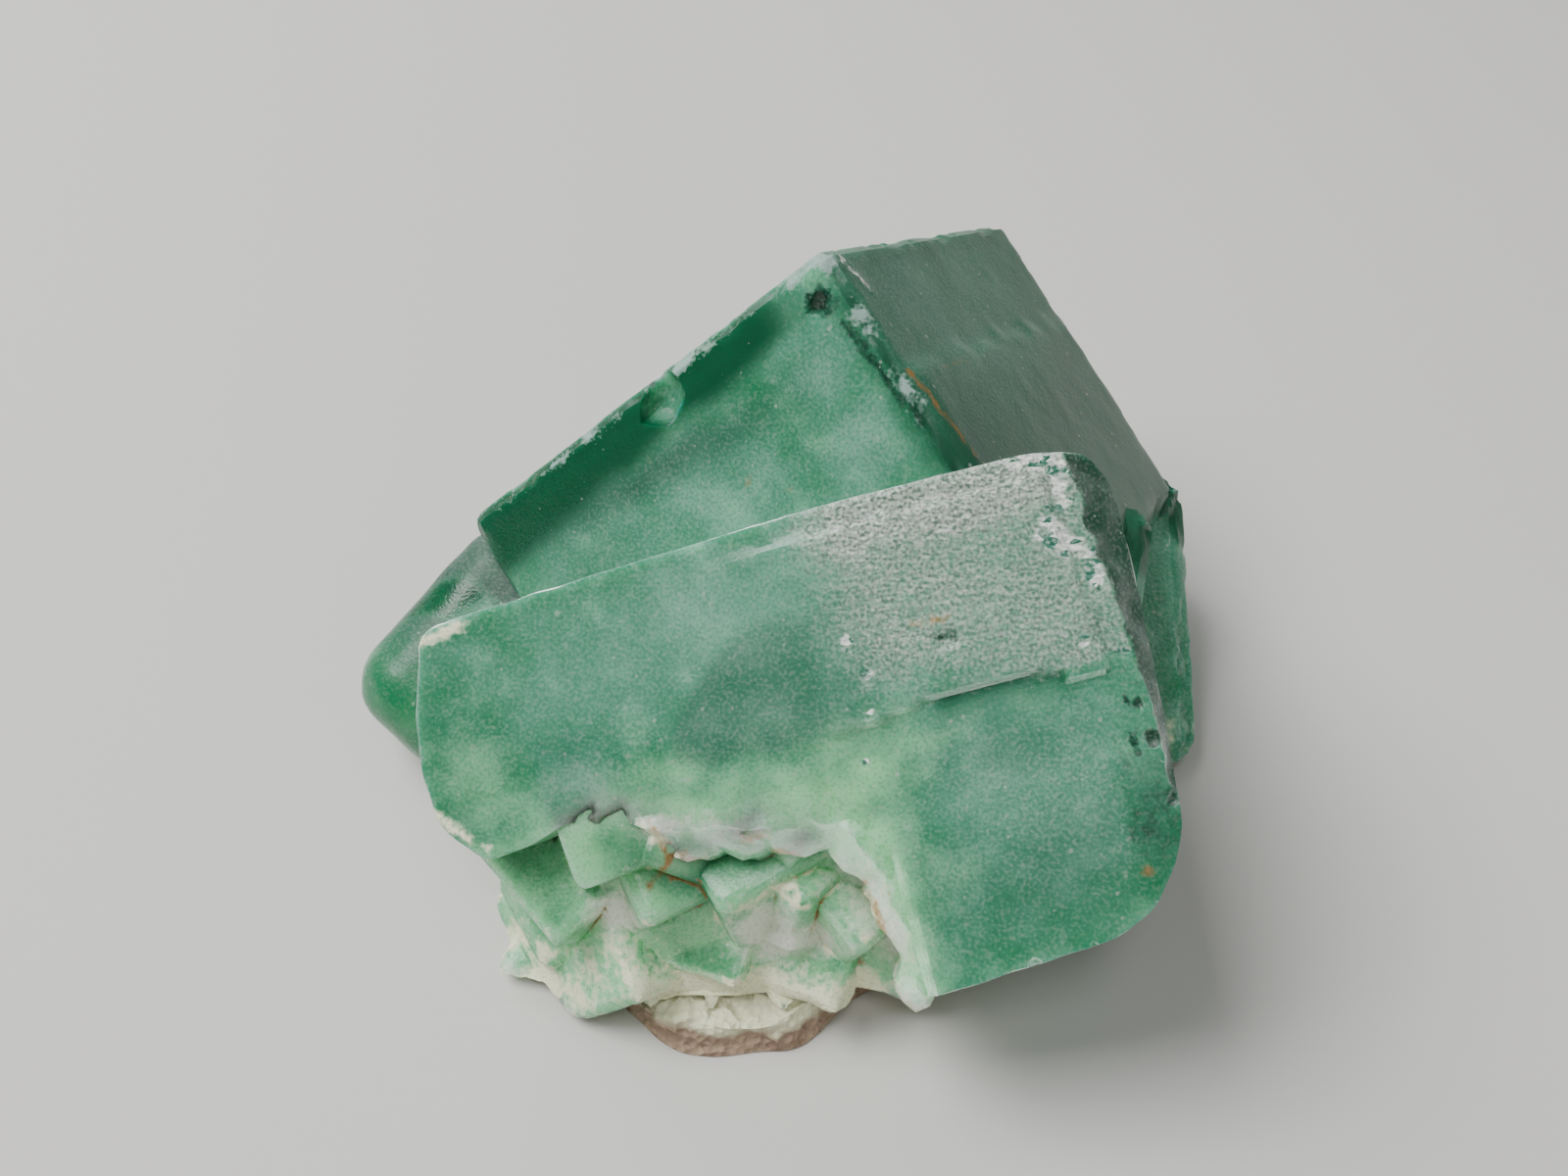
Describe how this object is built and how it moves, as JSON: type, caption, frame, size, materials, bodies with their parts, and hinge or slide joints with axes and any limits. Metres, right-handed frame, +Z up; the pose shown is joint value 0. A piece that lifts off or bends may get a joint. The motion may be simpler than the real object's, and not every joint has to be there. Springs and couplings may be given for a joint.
{
  "type": "fluorite crystal cluster",
  "caption": "Translucent green fluorite: a tall cube and a thick slab crystal grown through each other, with small crystals, on a crust of pale host rock; stands freely.",
  "frame": {"origin": "centre of the footprint of the whole object's box, on the surface that it stands on", "axes": "+Z up; the slab's large face looks towards -Y and up; +X is to the right of that face"},
  "size_m": [0.0458, 0.047, 0.0305],
  "materials": {
    "fluorite": "translucent green, finely etched",
    "host_rock": "rough, granular"
  },
  "bodies": {
    "root": {"fluorite_crystals": "fluorite", "matrix_rock": "host_rock"}
  },
  "joints": []
}
